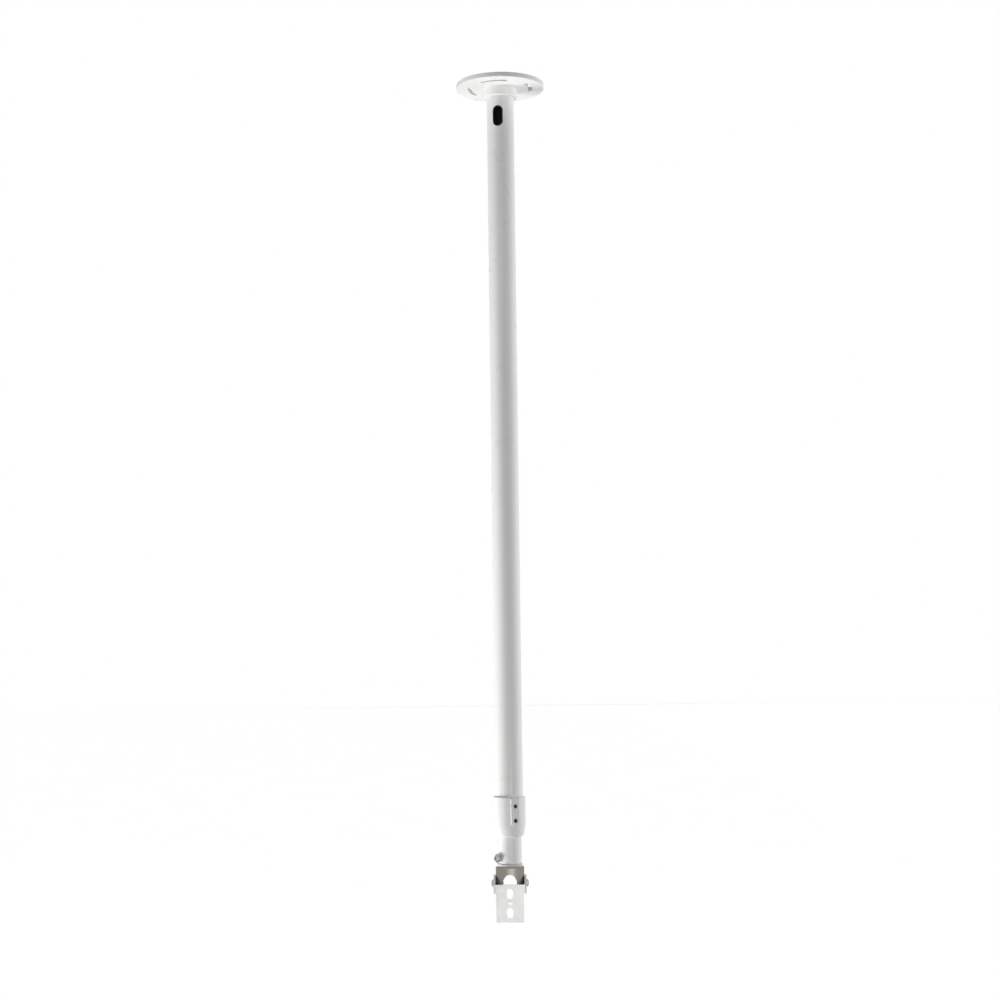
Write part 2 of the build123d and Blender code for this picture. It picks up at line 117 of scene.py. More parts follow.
# tubes and the cable slot's edging
SHOE_WINDOW_H, SHOE_WINDOW_W, RIVET_R = 32 * MM, 9 * MM, 4 * MM
GROMMET_LIP, GROMMET_FIT, GROMMET_EDGE = 1.3 * MM, 0.1 * MM, 0.3 * MM
GROMMET_STANDS, GROMMET_DEPTH = 0.3 * MM, 2.8 * MM

# M6 fasteners
M6_R, M6_HOLE_R = 3 * MM, 3.1 * MM
BUTTON_R, BUTTON_H, BUTTON_KEY, BUTTON_KEY_CUT = 5.25 * MM, 3.3 * MM, 4.0 * MM, 4.4 * MM
BUTTON_CROWN, BUTTON_RIM, BUTTON_EDGE = 0.46, 0.5 * MM, 0.12 * MM
SET_R, SET_KEY, SET_KEY_CUT, SET_EDGE = 2.95 * MM, 3.0 * MM, 5 * MM, 0.1 * MM
THREAD_FORM, THREAD_DEPTH, THREAD_STEPS = (0, 0.42, 0.50, 0.92), 0.45, 24
THREAD_STOP = -0.2 * MM
HUB_SCREW_END, HUB_SCREW_L = 24.7 * MM, 4.5 * MM
PAD_SCREW_END, PAD_SCREW_GAP = 24.2 * MM, 0.2 * MM
LOCK_SEAT, LOCK_TIP, LOCK_WASHER_T, LOCK_WASHER_R = 21.25 * MM, 12.2 * MM, 1.2 * MM, 6.4 * MM
PIVOT_FIT, PIVOT_SHANK, NUT_SEAT = 0.05 * MM, 14 * MM, 4.7 * MM
LINER_R, LINER_T, LEG_WASHER_R, LEG_WASHER_T = 9 * MM, 0.4 * MM, 6 * MM, 1.2 * MM
NUT_FLATS, NUT_H, NUT_HOLE_R = 10 * MM, 5 * MM, 3.02 * MM

# clamp collar, with heights from the ceiling
COLLAR_R, NOSE_R, COLLAR_SHOULDER = 23.5 * MM, 20.4 * MM, -1089 * MM
MOUTH_GAP, MOUTH_H, BUSH_SEAT_R = 0.6 * MM, 2 * MM, 19.1 * MM
COLLAR_TOP_EDGE, NOSE_EDGE, COLLAR_FIT, COLLAR_BREAK = 1.3 * MM, 0.8 * MM, 0.05 * MM, 0.25 * MM
PAD_W, PAD_H, PAD_DEPTH, PAD_Z, PAD_FACE = 13.5 * MM, 38 * MM, 8 * MM, -1070.5 * MM, 24.6 * MM
PAD_CORNER, PAD_EDGE = 1.4 * MM, 1.2 * MM

# thrust ring and cup, with heights from the ceiling
RING_BORE_R, RING_EDGE = 14.8 * MM, 0.5 * MM
CUP_WALL, CUP_ROOF, NECK_R, CUP_EDGE = 3 * MM, 4 * MM, 12.05 * MM, 1.6 * MM
ARCH_FLARE, ARCH_R, ARCH_APEX = radians(28), 8.3 * MM, -1160.5 * MM
LEG_HALF, LEG_FOOT, LEG_BELLY, LEG_REACH, LEG_RUN = 17 * MM, 11 * MM, 2 * MM, 20 * MM, 3 * MM
NUT_FLAT_R, NUT_FLAT_DEPTH = 7 * MM, 0.5 * MM

# tilt bracket, with heights from the ceiling
EAR_R, BEND_R, SIDE_RUN, PLATE_TOP = 12.3 * MM, 1 * MM, 2 * MM, -1174 * MM
PLATE_CORNER, EAR_HOLE_R = 1.8 * MM, 3.05 * MM
PLATE_SLOT_H, PLATE_SLOT_W, PLATE_CUT = 15 * MM, 8.7 * MM, 20 * MM
TIE_SLOT_W, TIE_SLOT_H, TIE_CORNER = 7 * MM, 3.2 * MM, 1.5 * MM

# floor, in metres
FLOOR_Z, FLOOR_R = -2.2, 60


# ---- settings -----------------------------------------------------------------------------
def linear(code):
    """A linear RGB colour from an sRGB hex code."""
    parts = [int(code[i:i + 2], 16) / 255 for i in (1, 3, 5)]
    return [c / 12.92 if c <= 0.04045 else ((c + 0.055) / 1.055) ** 2.4 for c in parts]


def colour(name, description, code):
    """A colour that a user can change."""
    return FloatVectorProperty(name=name, description=description, subtype="COLOR", size=3,
                               min=0, max=1, default=linear(code))


def length(name, description, default):
    """A length that a user can change."""
    return FloatProperty(name=name, description=description, default=default, unit="LENGTH",
                         precision=5)


class PoleSizes(bpy.types.PropertyGroup):
    """Lengths of the details that the frame doesn't give."""
    outer_wall: length("Outer wall", "Wall of the outer tube", 2.5 * MM)
    inner_wall: length("Inner wall", "Wall of the inner tube", 2.0 * MM)
    edge_break: length("Edge break", "Rounding of machined edges", 0.35 * MM)
    slot_width: length("Ceiling slot", "Width of the flange's curved slots", 6.0 * MM)
    slot_circle: length("Slot circle", "Radius that the curved slots lie on", 45.0 * MM)
    cable_width: length("Cable slot width", "Width of the slot in the outer tube", 15.0 * MM)
    cable_height: length("Cable slot height", "Height of the slot in the outer tube", 31.0 * MM)
    thread_pitch: length("Thread pitch", "Pitch of the M6 threads", 1.0 * MM)
    sheet: length("Sheet", "Thickness of the bracket's sheet steel", 2.5 * MM)
    tube_sides: IntProperty(name="Tube sides", description="Flat sides round a tube", default=160)


class PoleColours(bpy.types.PropertyGroup):
    """Colours of the finishes."""
    coat: colour("Powder coat", "White coat of the flange, tubes and collar", "#F2F2F1")
    cup: colour("Cup steel", "Polished steel of the yoke's cup", "#ABA69F")
    plate: colour("Plate steel", "Satin zinc plate of the bracket", "#DEDEDC")
    zinc: colour("Zinc", "Bright zinc of the screws", "#C9C9C7")
    # The bore colour is uncoated steel darkened with painted shade from inside the tube.
    bore: colour("Bore", "Uncoated steel inside the tubes", "#3A3836")
    oxide: colour("Black oxide", "Blackened steel of the set screws", "#56565A")
    rubber: colour("Rubber", "Rubber edge of the cable slot", "#121212")
    nylon: colour("Nylon", "Natural nylon of the bushes", "#E9E6DC")
    ring: colour("Ring", "Grey nylon of the thrust ring", "#D3D3D2")
    floor: colour("Floor", "Pale studio floor", "#F7F7F7")


# ---- materials ----------------------------------------------------------------------------
def add_node(tree, kind, links=None, values=None, **settings):
    """Adds one node: its properties, its sockets' values and the sockets that feed it."""
    node = tree.nodes.new(kind)
    for name, value in settings.items():
        setattr(node, name, value)
    for name, value in (values or {}).items():
        node.inputs[name].default_value = value
    for name, source in (links or {}).items():
        tree.links.new(source, node.inputs[name])
    return node


def new_material(name, values):
    """A material with a Principled shader, and the object's own coordinates in metres."""
    material = bpy.data.materials.new(name)
    material.use_nodes = True
    tree = material.node_tree
    tree.nodes.clear()
    shader = add_node(tree, "ShaderNodeBsdfPrincipled", values=values)
    add_node(tree, "ShaderNodeOutputMaterial", {"Surface": shader.outputs["BSDF"]})
    place = add_node(tree, "ShaderNodeTexCoord").outputs["Object"]
    return material, tree, shader, place


def noise(tree, place, grain, detail=2.0, stretch=(1, 1, 1)):
    """A noise pattern whose grain is a real length, stretched along the given axes."""
    moved = add_node(tree, "ShaderNodeMapping", {"Vector": place}, {"Scale": stretch})
    return add_node(tree, "ShaderNodeTexNoise", {"Vector": moved.outputs["Vector"]},
                    {"Scale": 1 / grain, "Detail": detail}).outputs["Fac"]


def between(tree, factor, first, second):
    """Mixes two linear colours by a pattern."""
    mix = add_node(tree, "ShaderNodeMix", data_type="RGBA")
    mix.inputs[6].default_value = (*first, 1)
    mix.inputs[7].default_value = (*second, 1)
    tree.links.new(factor, mix.inputs[0])
    return mix.outputs[2]


def ranged(tree, factor, smallest, largest):
    """Maps a pattern's middle half onto a range."""
    return add_node(tree, "ShaderNodeMapRange", {"Value": factor},
                    {"From Min": 0.3, "From Max": 0.7, "To Min": smallest,
                     "To Max": largest}).outputs["Result"]


def bumped(tree, shader, height, depth, strength):
    """Feeds a height pattern to the shader's normal."""
    bump = add_node(tree, "ShaderNodeBump", {"Height": height},
                    {"Distance": depth, "Strength": strength})
    tree.links.new(bump.outputs["Normal"], shader.inputs["Normal"])


def shade(rgb, factor):
    """The same colour, lighter or darker."""
    return [min(1.0, c * factor) for c in rgb]


def powder_coat(rgb):
    """Semi-gloss polyester powder coat, sprayed and baked on steel."""
    # Baked powder levels out unevenly: a faint orange peel breaks up its reflections, and the
    # coat is a little duller where it lies thicker. The peel is drawn at 2.2 mm, twice its size.
    material, tree, shader, place = new_material("powder_coat", {"IOR": 1.5})
    peel = noise(tree, place, 2.2 * MM, 1.0)
    thickness = noise(tree, place, 45 * MM, 3.0)
    tree.links.new(ranged(tree, thickness, 0.26, 0.34), shader.inputs["Roughness"])
    tree.links.new(between(tree, thickness, shade(rgb, 0.975), rgb), shader.inputs["Base Color"])
    bumped(tree, shader, peel, 0.02 * MM, 0.35)
    return material


def turned_steel(rgb):
    """Mild steel, turned and polished, left without paint."""
    # The lathe leaves fine rings round the cup, which draw each reflection out along its height,
    # and the polish is a little cloudy where it was handled. The rings are drawn 0.8 mm apart.
    material, tree, shader, place = new_material("turned_steel", {"Metallic": 1.0})
    rings = noise(tree, place, 0.8 * MM, 2.0, (0.02, 0.02, 1))
    cloud = noise(tree, place, 9 * MM, 4.0)
    tree.links.new(ranged(tree, cloud, 0.42, 0.50), shader.inputs["Roughness"])
    tree.links.new(between(tree, cloud, shade(rgb, 0.82), rgb), shader.inputs["Base Color"])
    bumped(tree, shader, rings, 0.006 * MM, 0.5)
    return material


def satin_zinc(rgb):
    """Sheet steel, rolled and plated with satin zinc."""
    # Zinc on rolled sheet is pale and soft, with a faint upright grain from the rolls and small
    # crystals that catch the light unevenly.
    material, tree, shader, place = new_material("satin_zinc", {"Metallic": 0.7})
    grain = noise(tree, place, 0.9 * MM, 3.0, (1, 1, 0.05))
    crystals = noise(tree, place, 5 * MM, 3.0)
    tree.links.new(ranged(tree, crystals, 0.40, 0.50), shader.inputs["Roughness"])
    tree.links.new(between(tree, grain, shade(rgb, 0.93), rgb), shader.inputs["Base Color"])
    bumped(tree, shader, grain, 0.01 * MM, 0.3)
    return material


def bright_zinc(rgb):
    """Cold-headed steel fasteners, plated with bright zinc."""
    # Barrel plating leaves small dull marks on a bright skin.
    material, tree, shader, place = new_material("bright_zinc", {"Metallic": 1.0})
    marks = noise(tree, place, 1.6 * MM, 3.0)
    tree.links.new(ranged(tree, marks, 0.20, 0.36), shader.inputs["Roughness"])
    tree.links.new(between(tree, marks, shade(rgb, 0.92), rgb), shader.inputs["Base Color"])
    bumped(tree, shader, marks, 0.006 * MM, 0.2)
    return material


def bare_steel(rgb):
    """The tubes' bores: drawn steel that the powder doesn't reach, oiled, dull and darkened with painted shade."""
    # Without a coat the bore is dull steel, and its colour is darkened further to paint the shade inside the tube,
    # so the cable slot reads as a black opening.
    material, tree, shader, place = new_material("bare_steel", {"Metallic": 0.6})
    scale = noise(tree, place, 3 * MM, 3.0, (1, 1, 0.2))
    tree.links.new(ranged(tree, scale, 0.55, 0.7), shader.inputs["Roughness"])
    tree.links.new(between(tree, scale, shade(rgb, 0.6), rgb), shader.inputs["Base Color"])
    return material


def black_oxide(rgb):
    """Alloy steel set screws with a hot black oxide."""
    # The oxide is a thin dark skin: it stays a metal, dark and half glossy from its oil.
    material, tree, shader, place = new_material("black_oxide", {"Metallic": 0.8})
    oil = noise(tree, place, 1.5 * MM, 3.0)
    tree.links.new(ranged(tree, oil, 0.22, 0.36), shader.inputs["Roughness"])
    tree.links.new(between(tree, oil, shade(rgb, 0.7), rgb), shader.inputs["Base Color"])
    return material


def moulded_rubber(rgb):
    """EPDM rubber, moulded with a matt skin."""
    # A fine matt texture from the mould keeps every highlight broad and weak.
    material, tree, shader, place = new_material("moulded_rubber", {"IOR": 1.52})
    skin = noise(tree, place, 0.7 * MM, 2.0)
    tree.links.new(ranged(tree, skin, 0.62, 0.75), shader.inputs["Roughness"])
    tree.links.new(between(tree, skin, shade(rgb, 0.7), rgb), shader.inputs["Base Color"])
    bumped(tree, shader, skin, 0.03 * MM, 0.4)
    return material


def turned_nylon(name, rgb):
    """Nylon 6 rod, turned to size."""
    # Turned nylon is waxy: light goes a little way in, and the tool leaves faint rings.
    material, tree, shader, place = new_material(name, {"IOR": 1.53, "Subsurface Weight": 0.15,
                                                        "Subsurface Scale": 0.6 * MM})
    rings = noise(tree, place, 0.7 * MM, 1.0, (0.03, 0.03, 1))
    tree.links.new(ranged(tree, rings, 0.38, 0.48), shader.inputs["Roughness"])
    tree.links.new(between(tree, rings, shade(rgb, 0.95), rgb), shader.inputs["Base Color"])
    bumped(tree, shader, rings, 0.01 * MM, 0.4)
    return material


FINISHES = {}


def finish(slot):
    """The material of one of the record's slots, made once."""
    colours = bpy.context.scene.pole_colours
    makers = {
        "white_powder_coat": lambda: powder_coat(colours.coat),
        "satin_steel": lambda: turned_steel(colours.cup),
        "pale_steel": lambda: satin_zinc(colours.plate),
        "zinc_steel": lambda: bright_zinc(colours.zinc),
        "bare_steel": lambda: bare_steel(colours.bore),
        "dark_steel": lambda: black_oxide(colours.oxide),
        "black_rubber": lambda: moulded_rubber(colours.rubber),
        "natural_nylon": lambda: turned_nylon("natural_nylon", colours.nylon),
        "grey_nylon": lambda: turned_nylon("grey_nylon", colours.ring),
    }
    if slot not in FINISHES:
        FINISHES[slot] = makers[slot]()
    return FINISHES[slot]


# ---- mesh tools ---------------------------------------------------------------------------
def across(place, outward, up=UP):
    """A matrix that stands local +Z along a direction at a place, with local +Y upwards."""
    z = Vector(outward).normalized()
    x = Vector(up).cross(z).normalized() if abs(z.dot(up)) < 0.99 else Vector((1, 0, 0))
    y = z.cross(x)
    turn = Matrix((x, y, z)).transposed().to_4x4()
    return Matrix.Translation(place) @ turn


def radial(azimuth, z, radius=0.0):
    """A matrix on the pole's side that faces away from its axis, with local +Y upwards."""
    outward = Vector((sin(azimuth), -cos(azimuth), 0))
    return across(outward * radius + Vector((0, 0, z)), outward)


def spun(outline, steps, closed=True, matrix=Matrix()):
    """A bmesh made by turning (radius, height) points a full turn about local Z."""
    bm = bmesh.new()
    verts = [bm.verts.new((r, 0, z)) for r, z in outline]
    pairs = list(zip(verts, verts[1:]))
    if closed:
        pairs.append((verts[-1], verts[0]))
    edges = [bm.edges.new(pair) for pair in pairs]
    bmesh.ops.spin(bm, geom=verts + edges, cent=ORIGIN, axis=UP, angle=2 * pi, steps=steps,
                   use_merge=True)
    bmesh.ops.remove_doubles(bm, verts=bm.verts, dist=1e-7)
    bmesh.ops.recalc_face_normals(bm, faces=bm.faces)
    bm.transform(matrix)
    return bm


def prism(start, moves, depth, matrix):
    """A bmesh prism along local Z: its outline runs straight or turns about a centre, and closes."""
    bm = bmesh.new()
    bottom = bm.verts.new((*start, -depth / 2))
    top = bm.verts.new((*start, depth / 2))
    edge = bm.edges.new((bottom, top))
    for move in moves:
        if len(move) == 2:
            made = bmesh.ops.extrude_edge_only(bm, edges=[edge])["geom"]
            verts = [g for g in made if isinstance(g, bmesh.types.BMVert)]
            bmesh.ops.translate(bm, verts=verts, vec=(*move, 0))
            edge = next(g for g in made if isinstance(g, bmesh.types.BMEdge) and
                        set(g.verts) == set(verts))
        else:
            x, y, angle = move
            steps = max(3, round(abs(angle) / radians(6)))
            made = bmesh.ops.spin(bm, geom=[edge, *edge.verts], cent=(x, y, 0), axis=UP,
                                  angle=angle, steps=steps)["geom_last"]
            edge = next(g for g in made if isinstance(g, bmesh.types.BMEdge))
    gap = Vector(start) - edge.verts[0].co.xy
    made = bmesh.ops.extrude_edge_only(bm, edges=[edge])["geom"]
    verts = [g for g in made if isinstance(g, bmesh.types.BMVert)]
    bmesh.ops.translate(bm, verts=verts, vec=(*gap, 0))
    bmesh.ops.remove_doubles(bm, verts=bm.verts, dist=1e-6)
    for rim in (-1, 1):
        loop = [e for e in bm.edges if all(v.co.z * rim > 0 for v in e.verts)]
        bmesh.ops.edgenet_fill(bm, edges=loop)
    bmesh.ops.recalc_face_normals(bm, faces=bm.faces)
    bm.transform(matrix)
    return bm


def capsule(height, width, depth, matrix):
    """A prism with an upright rounded slot's outline."""
    r, half = width / 2, (height - width) / 2
    moves = [(0, 2 * half), (0, half, pi), (0, -2 * half), (0, -half, pi)]
    return prism((r, -half), moves, depth, matrix)


def drum(radius, depth, matrix):
    """A plain round cutter along local Z."""
    return spun([(0, -depth / 2), (radius, -depth / 2), (radius, depth / 2), (0, depth / 2)],
                CUT_SIDES, closed=False, matrix=matrix)


def hexagon(flats, depth, matrix):
    """A six-sided prism along local Z, by its width across the flats."""
    side = flats / (2 * cos(pi / 6))
    corners = [Vector((side * cos(pi / 3 * i), side * sin(pi / 3 * i))) for i in range(7)]
    moves = [tuple(b - a) for a, b in zip(corners, corners[1:])]
    return prism(corners[0], moves, depth, matrix)


def block(size, matrix):
    """A box centred on a place."""
    bm = bmesh.new()
    bmesh.ops.create_cube(bm, size=1)
    bmesh.ops.scale(bm, vec=size, verts=bm.verts)
    bm.transform(matrix)
    return bm


def as_object(bm, name):
    """Moves a bmesh into a new object in the scene."""
    mesh = bpy.data.meshes.new(name)
    bm.to_mesh(mesh)
    bm.free()
    made = bpy.data.objects.new(name, mesh)
    bpy.context.scene.collection.objects.link(made)
    return made


def combined(solid, others, how="DIFFERENCE"):
    """The exact Boolean of one bmesh with others."""
    work = as_object(solid, "work")
    tools = []
    for other in others:
        tool = as_object(other, "tool")
        modifier = work.modifiers.new("cut", "BOOLEAN")
        modifier.operation, modifier.solver, modifier.object = how, "EXACT", tool
        tools.append(tool)
    bpy.context.view_layer.update()
    result = bpy.data.meshes.new_from_object(
        work.evaluated_get(bpy.context.evaluated_depsgraph_get()))
    bm = bmesh.new()
    bm.from_mesh(result)
    for spare in [work, *tools]:
        mesh = spare.data
        bpy.data.objects.remove(spare)
        bpy.data.meshes.remove(mesh)
    bpy.data.meshes.remove(result)
    bmesh.ops.remove_doubles(bm, verts=bm.verts, dist=1e-6)
    bmesh.ops.dissolve_degenerate(bm, edges=bm.edges, dist=1e-6)
    return bm


def soften(bm, width, segments=2, sharp=radians(35), where=None):
    """Rounds the sharp edges, or those of them that a test picks."""
    edges = [e for e in bm.edges if len(e.link_faces) == 2 and e.calc_face_angle(0) > sharp
             and (where is None or where(e))]
    bmesh.ops.bevel(bm, geom=edges, offset=width, offset_type="OFFSET", segments=segments,
                    profile=0.5, affect="EDGES", material=-1, clamp_overlap=True)
    return bm


def piece(bm, name, body, slot, replaces):
    """Finishes a bmesh as a piece: smooth shading, its finish, its body and what it stands for."""
    bmesh.ops.remove_doubles(bm, verts=bm.verts, dist=1e-7)
    for face in bm.faces:
        face.smooth = True
    for edge in bm.edges:
        edge.smooth = len(edge.link_faces) == 2 and edge.calc_face_angle(pi) < CREASE
    made = as_object(bm, name)
    made.data.materials.append(finish(slot))
    weighted = made.modifiers.new("flats", "WEIGHTED_NORMAL")
    weighted.keep_sharp = True
    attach(made, body)
    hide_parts(*replaces)
    return made


def merged(bms):
    """Several bmeshes as one."""
    whole = bmesh.new()
    for bm in bms:
        mesh = bpy.data.meshes.new("part")
        bm.to_mesh(mesh)
        bm.free()
        whole.from_mesh(mesh)
        bpy.data.meshes.remove(mesh)
    return whole


# ---- the ceiling end ----------------------------------------------------------------------
class POLE_OT_flange(bpy.types.Operator):
    """Add the ceiling flange with its curved slots and hub"""
    bl_idname = "pole.flange"
    bl_label = "Ceiling flange"

    def execute(self, context):
        sizes = context.scene.pole_sizes
        rim_r, drop = half_width("ceiling_flange"), -low("ceiling_flange").z
        bore_r, seat = OUTER_R + HUB_FIT, high("outer_tube").z
        outline = [(CEILING_HOLE_R, 0), (rim_r, 0), (rim_r, -FLANGE_PLATE),
                   (HUB_R, -FLANGE_PLATE), (HUB_R, -drop), (bore_r, -drop), (bore_r, seat),
                   (CEILING_HOLE_R, seat)]
        flange = spun(outline, FLANGE_SIDES)
        soften(flange, HUB_EDGE, 5, where=lambda e: all(
            v.co.z < -drop + NEAR and v.co.xy.length > HUB_R - NEAR for v in e.verts))
        soften(flange, RIM_EDGE, 4, where=lambda e: all(
            v.co.xy.length > rim_r - NEAR for v in e.verts))
        cutters = [self.slot(sizes, POLE_AZ + i * pi / 2) for i in range(4)]
        cutters += [drum(M6_R, -HUB_SCREW_Z, radial(POLE_AZ + a, HUB_SCREW_Z, HUB_R))
                    for a in HUB_SCREW_AZ]
        flange = combined(flange, cutters)
        soften(flange, sizes.edge_break, 2, where=lambda e: all(
            rim_r - 2 * NEAR > v.co.xy.length > HUB_R + 2 * NEAR
            and v.co.z < -FLANGE_PLATE / 2 for v in e.verts))
        piece(flange, "flange_cast", "pole", "white_powder_coat", ["ceiling_flange"])
        return {"FINISHED"}

    @staticmethod
    def slot(sizes, azimuth):
        """A cutter for one curved slot, turned to its azimuth."""
        half = SLOT_SWEEP / 2
        circle, r = sizes.slot_circle, sizes.slot_width / 2
        first = Vector((circle * cos(-half), circle * sin(-half)))
        last = Vector((circle * cos(half), circle * sin(half)))
        start = first * (circle + r) / circle
        moves = [(0, 0, 2 * half), (*last, pi), (0, 0, -2 * half), (*first, pi)]
        return prism(start, moves, SLOT_CUT, Matrix.Rotation(azimuth - pi / 2, 4, "Z"))


class POLE_OT_tubes(bpy.types.Operator):
    """Add the fixed outer tube and the sliding inner tube"""
    bl_idname = "pole.tubes"
    bl_label = "Tubes"

    def execute(self, context):
        sizes = context.scene.pole_sizes
        outer = self.tube("outer_tube", OUTER_R, sizes.outer_wall, sizes)
        cable_z = opening("cable_slot").z
        shoe_z = (low("clamp_shoe").z + high("clamp_shoe").z) / 2
        outer = combined(outer, [
            capsule(sizes.cable_height, sizes.cable_width, OUTER_R,
                    radial(POLE_AZ, cable_z, OUTER_R)),
            capsule(SHOE_WINDOW_H, SHOE_WINDOW_W, OUTER_R, radial(PAD_AZ, shoe_z, OUTER_R))])
        fixed = piece(outer, "fixed_tube", "pole", "white_powder_coat", ["outer_tube"])
        self.uncoated(fixed, OUTER_R - sizes.outer_wall)
        inner = self.tube("inner_tube", INNER_R, sizes.inner_wall, sizes)
        lock_z = (low("lock_screw").z + high("lock_screw").z) / 2
        inner = combined(inner, [drum(RIVET_R, INNER_R, radial(LOCK_AZ, lock_z, INNER_R))])
        sliding = piece(inner, "sliding_tube", "inner", "white_powder_coat", ["inner_tube"])
        self.uncoated(sliding, INNER_R - sizes.inner_wall)
        return {"FINISHED"}

    @staticmethod
    def uncoated(made, bore_r):
        """Gives the faces of a tube's bore their own finish."""
        # The bore's faces take the darkened bore colour, which paints the shade inside the tube.
        made.data.materials.append(finish("bare_steel"))
        for face in made.data.polygons:
            if face.center.xy.length < bore_r + NEAR / 10:
                face.material_index = 1

    @staticmethod
    def tube(node, radius, wall, sizes):
        """A plain round tube between a CAD tube's ends, with its ends eased."""
        bottom, top = low(node).z, high(node).z
        bm = spun([(radius, bottom), (radius, top), (radius - wall, top), (radius - wall, bottom)],
                  sizes.tube_sides)
        return soften(bm, sizes.edge_break, 2)


class POLE_OT_grommet(bpy.types.Operator):
    """Add the rubber edging of the cable slot"""
    bl_idname = "pole.grommet"
    bl_label = "Cable grommet"

    def execute(self, context):
        sizes = context.scene.pole_sizes
        face = radial(POLE_AZ, opening("cable_slot").z, OUTER_R)
        height, width = sizes.cable_height, sizes.cable_width
        ring = combined(
            capsule(height - GROMMET_FIT, width - GROMMET_FIT, OUTER_R, face),
            [capsule(height - 2 * GROMMET_LIP, width - 2 * GROMMET_LIP, 2 * OUTER_R, face)])
        top, bottom = high("cable_grommet").z + NEAR, low("cable_grommet").z - NEAR
        outside, inside = OUTER_R + GROMMET_STANDS, OUTER_R - GROMMET_DEPTH
        wall = spun([(outside, bottom), (outside, top), (inside, top), (inside, bottom)],
                    BODY_SIDES)
        ring = combined(ring, [wall], "INTERSECT")
        soften(ring, GROMMET_EDGE, 2, sharp=STEEP)
        piece(ring, "slot_edging", "pole", "black_rubber", ["cable_grommet"])
        return {"FINISHED"}


# ---- fasteners ----------------------------------------------------------------------------
def thread(radius, bottom, top, pitch, matrix):
    """A helical ridge round a shank between two heights."""
    bm = bmesh.new()
    foot, crest = radius - THREAD_DEPTH * pitch, radius
    verts = [bm.verts.new((r, 0, bottom + pitch * part))
             for r, part in zip((foot, crest, crest, foot), THREAD_FORM)]
    face = bm.faces.new(verts)
    turns = (top - bottom) / pitch - 1
    steps = round(turns * THREAD_STEPS)
    bmesh.ops.spin(bm, geom=[face, *face.edges, *verts], cent=ORIGIN, axis=UP,
                   dvec=(0, 0, turns * pitch / steps), angle=turns * 2 * pi, steps=steps)
    bmesh.ops.recalc_face_normals(bm, faces=bm.faces)
    bm.transform(matrix)
    return bm


def button_screw(seat, shank, sizes):
    """An M6 button-head socket screw: its head stands on the seat, its thread goes below."""
    pitch, crown_r, foot = sizes.thread_pitch, BUTTON_R * BUTTON_CROWN, 0.2 * MM
    arc = [(crown_r + (BUTTON_R - crown_r) * cos(a), BUTTON_RIM + (BUTTON_H - BUTTON_RIM) * sin(a))
           for a in (radians(15 * i) for i in range(7))]
    head = spun([(0, 0), (BUTTON_R - foot, 0), (BUTTON_R, foot), *arc, (0, BUTTON_H)],
                ROUND_SIDES, closed=False, matrix=seat)
    key = seat @ Matrix.Translation((0, 0, BUTTON_H))
    head = combined(head, [hexagon(BUTTON_KEY, BUTTON_KEY_CUT, key)])
    soften(head, BUTTON_EDGE, 2, sharp=STEEP)
    core_r, tip, lead, sunk = M6_R - 0.4 * pitch, 0.6 * MM, 0.4 * MM, 0.1 * MM
    core = spun([(0, -shank), (core_r - tip, -shank), (core_r, -shank + tip),
                 (core_r, sunk), (0, sunk)], ROUND_SIDES // 2, closed=False, matrix=seat)
    return merged([head, core, thread(M6_R, -shank + lead, THREAD_STOP, pitch, seat)])


def set_screw(end, depth, sizes):
    """A socket set screw: its outer face lies on the end, its thread goes below."""
    pitch, tip, face, lead, sides = sizes.thread_pitch, 0.5 * MM, 0.4 * MM, 0.3 * MM, 40
    core_r = SET_R - 0.3 * pitch
    outline = [(0, -depth), (core_r - tip, -depth), (core_r, -depth + tip),
               (core_r, -tip), (core_r - face, 0), (0, 0)]
    body = combined(spun(outline, sides, closed=False, matrix=end),
                    [hexagon(SET_KEY, SET_KEY_CUT, end)])
    soften(body, SET_EDGE, 1, sharp=STEEP)
    return merged([body, thread(SET_R, -depth + lead, THREAD_STOP, pitch, end)])


def washer(outer_r, hole_r, thickness, matrix):
    """A stamped washer with one rolled edge."""
    bm = spun([(hole_r, 0), (outer_r, 0), (outer_r, thickness), (hole_r, thickness)],
              ROUND_SIDES, matrix=matrix)
    return soften(bm, min(0.3 * MM, thickness * 0.3), 2)


def lock_nut(matrix):
    """A hexagon nut with chamfered corners and a raised collar round its insert."""
    half, reach = NUT_FLATS / 2, NUT_FLATS / 2 / cos(pi / 6)
    shoulder, foot, chamfer = NUT_H * 0.8, NUT_H * 0.7, MM / 3
    dome = spun([(0, 0), (reach * 0.93, 0), (reach, 0.5 * MM), (reach, NUT_H * 0.62),
                 (half - 0.2 * MM, shoulder), (0, shoulder)], CUT_SIDES,
                closed=False, matrix=matrix)
    middle = matrix @ Matrix.Translation((0, 0, NUT_H * 0.4))
    nut = combined(hexagon(NUT_FLATS, NUT_H, middle), [dome], "INTERSECT")
    nut = combined(nut, [drum(NUT_HOLE_R, 3 * NUT_H, matrix)])
    top_r = half - 0.9 * MM
    rim = spun([(M6_HOLE_R, foot), (top_r, foot), (top_r, NUT_H - chamfer),
                (top_r - chamfer, NUT_H), (M6_HOLE_R, NUT_H)], CUT_SIDES, matrix=matrix)
    return merged([nut, rim])


def pad_screw_heights():
    """The heights of the pad's two screws."""
    return low("collar_set_screws").z + SET_R, high("collar_set_screws").z - SET_R


